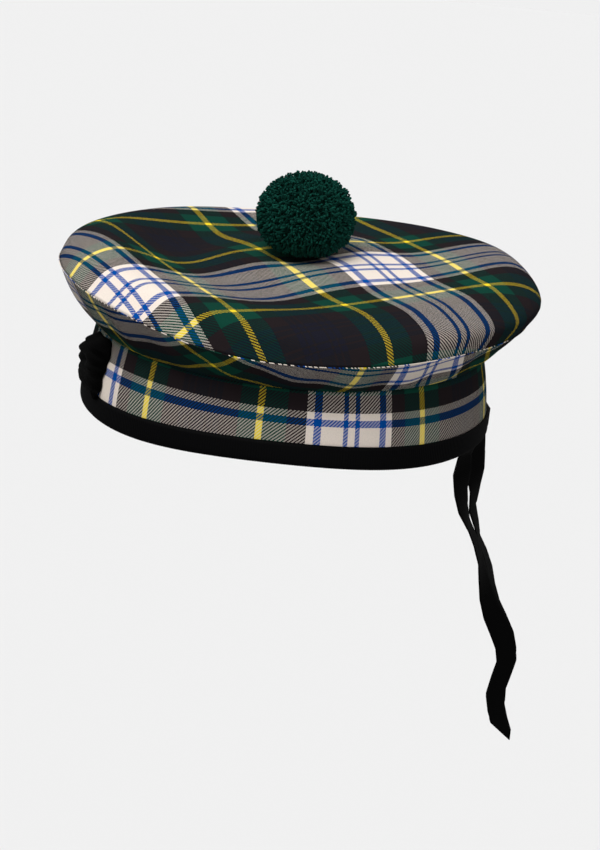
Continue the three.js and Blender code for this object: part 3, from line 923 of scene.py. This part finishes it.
class BONNET_OT_binding(bpy.types.Operator):
    """Folds the ribbon binding over the rim"""

    bl_idname = "bonnet.binding"
    bl_label = "Rim binding"

    def execute(self, context):
        bearings = np.arange(BINDING_BEARINGS + 1) * 360.0 / BINDING_BEARINGS
        stand = CLEARANCE + RIBBON_WALL
        bend = BAND_FOOT - CLEARANCE
        ribs = BINDING_RIB_DEPTH * np.where(np.arange(BINDING_BEARINGS + 1) % 2, 1.0, -1.0)
        outside = []
        for height in np.linspace(BINDING_HEIGHT, bend, BINDING_SIDE_POINTS):
            outside.append((band_radius(bearings, height) + stand, height))
        outer_foot = band_radius(bearings, bend) + stand
        inner_foot = band_radius(bearings, bend) - BAND_WALL - stand
        for turn in BINDING_FOLD:
            outside.append((outer_foot - bend * (1 - math.cos(turn)), bend * (1 - math.sin(turn))))
        for turn in BINDING_FOLD[::-1]:
            outside.append((inner_foot + bend * (1 - math.cos(turn)), bend * (1 - math.sin(turn))))
        for height in (bend, BINDING_INSIDE_HEIGHT):
            outside.append((band_radius(bearings, height) - BAND_WALL - stand, height))
        radius = np.stack([radii for radii, _ in outside], axis=1)
        height = np.stack([np.full_like(bearings, level) for _, level in outside], axis=1)
        profile = np.stack([radius, height], axis=-1)
        outward = left_of(profile)
        inside = profile - outward * RIBBON_WALL
        profile = profile + outward * ribs[:, None, None]
        section = np.concatenate([inside, profile[:, ::-1]], axis=1)
        lift = rim_wave(bearings[:, None], section[..., 1])
        rows = onto_ring(bearings[:, None], section[..., 0], section[..., 1] + lift)[:-1]
        across = there_and_back(lengths_along(profile[0]))
        around = np.radians(bearings) * BAND_FOOT_RADIUS
        ribbon_map = np.stack(np.broadcast_arrays(around[:, None], across[None, :]), axis=-1)
        binding = ring_piece("rim_binding_ribbon", rows, "ribs", ribbon_map, black_ribbon("binding"))
        finish_piece(binding, "black_ribbon", "rim_binding")
        return {"FINISHED"}


COCKADE = {"bearing": 270, "pinch_z": 22, "up": 13.4, "down": 11.5, "side": 25.5, "squareness": 8}
# The sides draw in below the middle, and the upper corner at the wearer's right droops: how much of the
# half width or the upper height each takes, and where
COCKADE_WAIST = {"share": 0.085, "level": -0.4, "reach": 0.5}
COCKADE_DROOP = {"share": 0.75, "from": 6, "to": -16}
COCKADE_LIFT = {"edge": 0.9, "puff": 2.9, "bluntness": 0.7, "upper": 0.45, "fold_fade": 8}
# The lower edge laps over the binding: how much further its corners reach, where along the band this
# sets in, and between which heights the edge lifts
COCKADE_LAP = {"reach": 2.3, "reach_from": 17, "reach_to": 21, "lift_from": 13.2, "lift_to": 11.6}
# Folds of the ribbon that run along the band: height, depth, half width and slope of each
COCKADE_FOLDS = (
    (32.6, 1.5, 1.3, -0.1),
    (29.6, -0.9, 1.1, -0.1),
    (26.0, 0.5, 1.8, -0.04),
    (22.6, -0.5, 0.8, 0.02),
    (20.2, 0.7, 1.1, 0.03),
    (17.4, -0.7, 0.8, 0.02),
    (14.6, 0.5, 1.3, 0.0),
)
COCKADE_SCALLOPS = {"count": 14, "depth": 0.02}
COCKADE_TURNS = 280
COCKADE_RINGS = 44


class BONNET_OT_cockade(bpy.types.Operator):
    """Folds the ribbon cockade on the front of the band"""

    bl_idname = "bonnet.cockade"
    bl_label = "Cockade"

    def execute(self, context):
        angle = np.linspace(0, 2 * np.pi, COCKADE_TURNS, endpoint=False)[:, None]
        share = np.linspace(0, 1, COCKADE_RINGS + 1)[None, :]
        along, height = self.spread(angle, share)
        lobe = 1 + COCKADE_LIFT["upper"] * np.sin(angle)
        puff = COCKADE_LIFT["puff"] * lobe * np.sin(np.pi * share) ** COCKADE_LIFT["bluntness"]
        folds = sum(
            depth * np.exp(-(((height - middle - slope * along) / half_width) ** 2))
            for middle, depth, half_width, slope in COCKADE_FOLDS
        )
        lift = COCKADE_LIFT["edge"] + puff + folds * (1 - share ** COCKADE_LIFT["fold_fade"])
        front = self.lay(along, height, lift)
        back = self.lay(along, height, np.zeros_like(height))
        rows = np.concatenate([back, front[:, ::-1]], axis=1)
        ribs = there_and_back(np.stack([along, height], axis=-1), 1)
        cockade = ring_piece("cockade_ribbon", rows, "ribs", ribs, black_ribbon("cockade"))
        finish_piece(cockade, "black_ribbon", "cockade")
        return {"FINISHED"}

    def spread(self, angle, share):
        """Places on the band, along it and in height, of a rosette with blunt corners."""
        across, rise = np.cos(angle), np.sin(angle)
        power = COCKADE["squareness"]
        blunt = (np.abs(across) ** power + np.abs(rise) ** power) ** (-1 / power)
        scallop = COCKADE_SCALLOPS["depth"] * np.cos(COCKADE_SCALLOPS["count"] * angle)
        reach = share * blunt * (1 + scallop * share)
        level = rise * reach
        below = (level - COCKADE_WAIST["level"]) / COCKADE_WAIST["reach"]
        along = COCKADE["side"] * across * reach * (1 - COCKADE_WAIST["share"] * np.exp(-(below**2)))
        lap = smooth_share(COCKADE_LAP["reach_from"], COCKADE_LAP["reach_to"], np.abs(along))
        down = COCKADE["down"] + COCKADE_LAP["reach"] * lap
        drooped = smooth_share(COCKADE_DROOP["from"], COCKADE_DROOP["to"], along)
        up = COCKADE["up"] * (1 - COCKADE_DROOP["share"] * drooped)
        height = COCKADE["pinch_z"] + np.where(rise > 0, up, down) * level
        return along, height

    def lay(self, along, height, lift):
        lapped = smooth_share(COCKADE_LAP["lift_from"], COCKADE_LAP["lift_to"], height)
        over_binding = (RIBBON_WALL + CLEARANCE) * lapped
        bearing = COCKADE["bearing"] + np.degrees(along / BAND_FOOT_RADIUS)
        radius = band_radius(bearing, height) + CLEARANCE + over_binding + lift
        return onto_ring(bearing, radius, height)


def geometry_tree(name, inputs):
    """An empty geometry tree with named inputs, each a name, a socket kind and a value."""
    tree = bpy.data.node_groups.new(name, "GeometryNodeTree")
    tree.interface.new_socket("Geometry", in_out="INPUT", socket_type="NodeSocketGeometry")
    tree.interface.new_socket("Geometry", in_out="OUTPUT", socket_type="NodeSocketGeometry")
    identifiers = {}
    for label, kind, value in inputs:
        socket = tree.interface.new_socket(label, in_out="INPUT", socket_type=kind)
        identifiers[socket.identifier] = value
    nodes = Nodes(tree)
    start = nodes.add("NodeGroupInput")
    end = nodes.add("NodeGroupOutput")
    return tree, nodes, start, end, identifiers


def end_tree(nodes, end, geometry, material):
    """Ends a geometry tree in smooth faces of one material."""
    smooth = nodes.add("GeometryNodeSetShadeSmooth", {"Geometry": geometry})
    coloured = nodes.add("GeometryNodeSetMaterial", {"Geometry": smooth.outputs[0], "Material": material})
    nodes.put(end.inputs[0], coloured.outputs[0])


def grow(piece, tree, identifiers):
    """Runs a geometry tree on a piece and keeps its result as the piece's own mesh."""
    modifier = piece.modifiers.new(tree.name, "NODES")
    modifier.node_group = tree
    for identifier, value in identifiers.items():
        modifier[identifier] = value
    graph = bpy.context.evaluated_depsgraph_get()
    mesh = bpy.data.meshes.new_from_object(piece.evaluated_get(graph))
    piece.modifiers.clear()
    piece.data = mesh


# Whip stitches round the crown's edge seam, in millimetres
SEAM_STITCH = {"count": 900, "radius": 0.2, "stretch": 2.4, "slant": 0.4, "stand": 0.05}


class BONNET_OT_edge_seam(bpy.types.Operator):
    """Whips the crown's edge seam with threads of its own cloth"""

    bl_idname = "bonnet.edge_seam"
    bl_label = "Edge seam"

    def execute(self, context):
        bearing = np.arange(SEAM_STITCH["count"]) * 360.0 / SEAM_STITCH["count"]
        seam_r, seam_z = (round_table(CROWN[column], bearing) for column in ("seam_r", "seam_z"))
        seam = onto_ring(bearing, seam_r + SEAM_STITCH["stand"], seam_z)
        ahead = unit(np.roll(seam, -1, axis=0) - np.roll(seam, 1, axis=0))
        ways = ahead - np.array((0, 0, SEAM_STITCH["slant"]))
        thread = context.scene.bonnet_tartan.thread / MM
        cloth = planar_cloth(bearing, UNDER_CUT["ring"], UNDER_GRAIN)
        cloth = (np.floor(cloth / thread) + 0.5) * thread
        mesh = bpy.data.meshes.new("edge_seam_yarn")
        mesh.from_pydata((seam * MM).tolist(), [], [])
        fields = {"cloth": np.column_stack([cloth, np.zeros(len(cloth))]), "stitch_way": ways}
        for name, values in fields.items():
            layer = mesh.attributes.new(name, "FLOAT_VECTOR", "POINT")
            layer.data.foreach_set("vector", values.astype(np.float32).ravel())
        stitches = linked("edge_seam_yarn", mesh)
        grow(stitches, *self.stitch_tree())
        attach(stitches, BODY)
        return {"FINISHED"}

    def stitch_tree(self):
        tree, nodes, start, end, identifiers = geometry_tree(
            "seam stitches",
            (
                ("Stitch radius", "NodeSocketFloat", SEAM_STITCH["radius"] * MM),
                ("Stitch stretch", "NodeSocketFloat", SEAM_STITCH["stretch"]),
            ),
        )
        way = nodes.add("GeometryNodeInputNamedAttribute", {"Name": "stitch_way"}, data_type="FLOAT_VECTOR")
        turn = nodes.add("FunctionNodeAlignRotationToVector", {"Vector": way.outputs[0]}, axis="Z")
        bead = nodes.add(
            "GeometryNodeMeshIcoSphere", {"Radius": start.outputs["Stitch radius"], "Subdivisions": 2}
        )
        size = nodes.add("ShaderNodeCombineXYZ", {"X": 1.0, "Y": 1.0, "Z": start.outputs["Stitch stretch"]})
        planted = nodes.add(
            "GeometryNodeInstanceOnPoints",
            {
                "Points": start.outputs["Geometry"],
                "Instance": bead.outputs[0],
                "Rotation": turn.outputs[0],
                "Scale": size.outputs[0],
            },
        )
        solid = nodes.add("GeometryNodeRealizeInstances", {"Geometry": planted.outputs[0]})
        end_tree(nodes, end, solid.outputs[0], tartan())
        return tree, identifiers


# How much of a yarn end lies inside the pompom's outline, at its sides and at its top
YARN_INSIDE = {"side": 0.76, "top": 0.98}
# How far a yarn end leans two ways and turns about itself, in radians, and its least and greatest size
YARN_LEAN = Vector((0.75, 0.75, 3.1))
YARN_SIZES = (0.86, 1.1)
# Where a yarn end bends, as shares of its length, and the part of a half wave that its radius follows
YARN_BEND = {"side": 0.28, "height": 0.55}
YARN_SWELL = {"from": 0.2, "over": 0.7}
YARN_CORNERS = 4
YARN_STEPS = 4
# More yarn ends to a square metre than the spacing lets stand
MOST_YARN = 4e6
SHADE_SEED = 3
# How full the pompom's lower half is where it sits on the crown; 2 is a plain ball
POMPOM_FULLNESS = 2.6
POMPOM_FINENESS = 4


class BONNET_OT_pompom(bpy.types.Operator):
    """Grows the wool pompom in the middle of the crown"""

    bl_idname = "bonnet.pompom"
    bl_label = "Pompom"

    def execute(self, context):
        settings = context.scene.bonnet_pompom
        low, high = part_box("pompom")
        side, top = (settings.yarn_length * YARN_INSIDE[key] for key in ("side", "top"))
        core = self.add_core((low + high) / 2, (high - low) / 2 - Vector((side, side, top)))
        wool = shared_material("bottle green wool", wool_material, settings)
        grow(core, *self.yarn_tree(settings, wool))
        finish_piece(core, "green_wool", "pompom")
        return {"FINISHED"}

    def add_core(self, middle, radii):
        mesh = bpy.data.meshes.new("pompom_yarn")
        work = bmesh.new()
        bmesh.ops.create_icosphere(work, subdivisions=POMPOM_FINENESS, radius=1)
        for vertex in work.verts:
            if -1 < vertex.co.z < 0:
                sphere = math.sqrt(1 - vertex.co.z**2)
                fuller = (1 - abs(vertex.co.z) ** POMPOM_FULLNESS) ** (1 / POMPOM_FULLNESS)
                vertex.co.xy *= fuller / sphere
            vertex.co = vertex.co * radii + middle
        work.to_mesh(mesh)
        work.free()
        return linked("pompom_yarn", mesh)

    def yarn_tree(self, settings, wool):
        tree, nodes, start, end, identifiers = geometry_tree(
            "yarn ends",
            (
                ("Spacing", "NodeSocketFloat", settings.spacing),
                ("Yarn length", "NodeSocketFloat", settings.yarn_length),
                ("Yarn radius", "NodeSocketFloat", settings.yarn_radius),
                ("Seed", "NodeSocketInt", settings.seed),
            ),
        )
        spread = nodes.add(
            "GeometryNodeDistributePointsOnFaces",
            {
                "Mesh": start.outputs["Geometry"],
                "Distance Min": start.outputs["Spacing"],
                "Density Max": MOST_YARN,
                "Seed": start.outputs["Seed"],
            },
            distribute_method="POISSON",
        )
        yarn = self.yarn_end(nodes, start)
        tilt = nodes.add(
            "FunctionNodeRandomValue",
            {"Min": -YARN_LEAN, "Max": YARN_LEAN, "Seed": start.outputs["Seed"]},
            data_type="FLOAT_VECTOR",
        )
        tilt_turn = nodes.add("FunctionNodeEulerToRotation", {"Euler": tilt.outputs[0]})
        turn = nodes.add(
            "FunctionNodeRotateRotation",
            {"Rotation": spread.outputs["Rotation"], "Rotate By": tilt_turn.outputs[0]},
            rotation_space="LOCAL",
        )
        size = nodes.add("FunctionNodeRandomValue", {"Seed": start.outputs["Seed"]}, data_type="FLOAT")
        size.inputs[2].default_value, size.inputs[3].default_value = YARN_SIZES
        planted = nodes.add(
            "GeometryNodeInstanceOnPoints",
            {
                "Points": spread.outputs["Points"],
                "Instance": yarn,
                "Rotation": turn.outputs[0],
                "Scale": size.outputs[1],
            },
        )
        shade = nodes.add("FunctionNodeRandomValue", {"Seed": SHADE_SEED}, data_type="FLOAT")
        named = nodes.add(
            "GeometryNodeStoreNamedAttribute",
            {"Geometry": planted.outputs[0], "Name": "yarn_shade", "Value": shade.outputs[1]},
            data_type="FLOAT",
            domain="INSTANCE",
        )
        solid = nodes.add("GeometryNodeRealizeInstances", {"Geometry": named.outputs[0]})
        joined = nodes.add("GeometryNodeJoinGeometry")
        nodes.tree.links.new(start.outputs["Geometry"], joined.inputs[0])
        nodes.tree.links.new(solid.outputs[0], joined.inputs[0])
        end_tree(nodes, end, joined.outputs[0], wool)
        return tree, identifiers

    def yarn_end(self, nodes, start):
        """One yarn end: a short bent tube with a soft rounded tip."""
        length = start.outputs["Yarn length"]
        side = nodes.math("MULTIPLY", length, YARN_BEND["side"])
        half = nodes.math("MULTIPLY", length, YARN_BEND["height"])
        bend = nodes.add("ShaderNodeCombineXYZ", {"X": side, "Z": half})
        tip = nodes.add("ShaderNodeCombineXYZ", {"Y": side, "Z": length})
        line = nodes.add(
            "GeometryNodeCurveQuadraticBezier",
            {
                "Resolution": YARN_STEPS,
                "Start": (0, 0, 0),
                "Middle": bend.outputs[0],
                "End": tip.outputs[0],
            },
        )
        place = nodes.add("GeometryNodeSplineParameter").outputs["Factor"]
        turn = nodes.math("MULTIPLY_ADD", place, YARN_SWELL["over"] * math.pi, YARN_SWELL["from"] * math.pi)
        shaped = nodes.add(
            "GeometryNodeSetCurveRadius", {"Curve": line.outputs[0], "Radius": nodes.math("SINE", turn)}
        )
        ring = nodes.add(
            "GeometryNodeCurvePrimitiveCircle",
            {"Resolution": YARN_CORNERS, "Radius": start.outputs["Yarn radius"]},
        )
        tube = nodes.add(
            "GeometryNodeCurveToMesh",
            {"Curve": shaped.outputs[0], "Profile Curve": ring.outputs[0], "Fill Caps": True},
        )
        return tube.outputs[0]


class BONNET_PT_panel(bpy.types.Panel):
    """Lists the bonnet's pieces and their settings"""

    bl_idname = "BONNET_PT_panel"
    bl_label = "Bonnet"
    bl_space_type = "VIEW_3D"
    bl_region_type = "UI"
    bl_category = "Bonnet"

    def draw(self, context):
        for operator in OPERATORS:
            self.layout.operator(operator.bl_idname)
        for name, group in SETTINGS.items():
            box = self.layout.box()
            for key in group.__annotations__:
                box.prop(getattr(context.scene, name), key)


SETTINGS = {
    "bonnet_tartan": TartanSettings,
    "bonnet_crown": CrownSettings,
    "bonnet_ribbon": RibbonSettings,
    "bonnet_pompom": PompomSettings,
    "bonnet_stage": StageSettings,
}
OPERATORS = (
    BONNET_OT_stage,
    BONNET_OT_tails,
    BONNET_OT_crown,
    BONNET_OT_headband,
    BONNET_OT_binding,
    BONNET_OT_cockade,
    BONNET_OT_edge_seam,
    BONNET_OT_pompom,
)


def register():
    for kind in (*SETTINGS.values(), *OPERATORS, BONNET_PT_panel):
        bpy.utils.register_class(kind)
    for name, group in SETTINGS.items():
        setattr(bpy.types.Scene, name, bpy.props.PointerProperty(type=group))


def unregister():
    for name in SETTINGS:
        delattr(bpy.types.Scene, name)
    for kind in reversed((*SETTINGS.values(), *OPERATORS, BONNET_PT_panel)):
        bpy.utils.unregister_class(kind)


def main():
    register()
    bpy.ops.bonnet.stage()
    bpy.ops.bonnet.tails()
    bpy.ops.bonnet.crown()
    bpy.ops.bonnet.headband()
    bpy.ops.bonnet.binding()
    bpy.ops.bonnet.cockade()
    bpy.ops.bonnet.edge_seam()
    bpy.ops.bonnet.pompom()


if __name__ == "__main__":
    main()
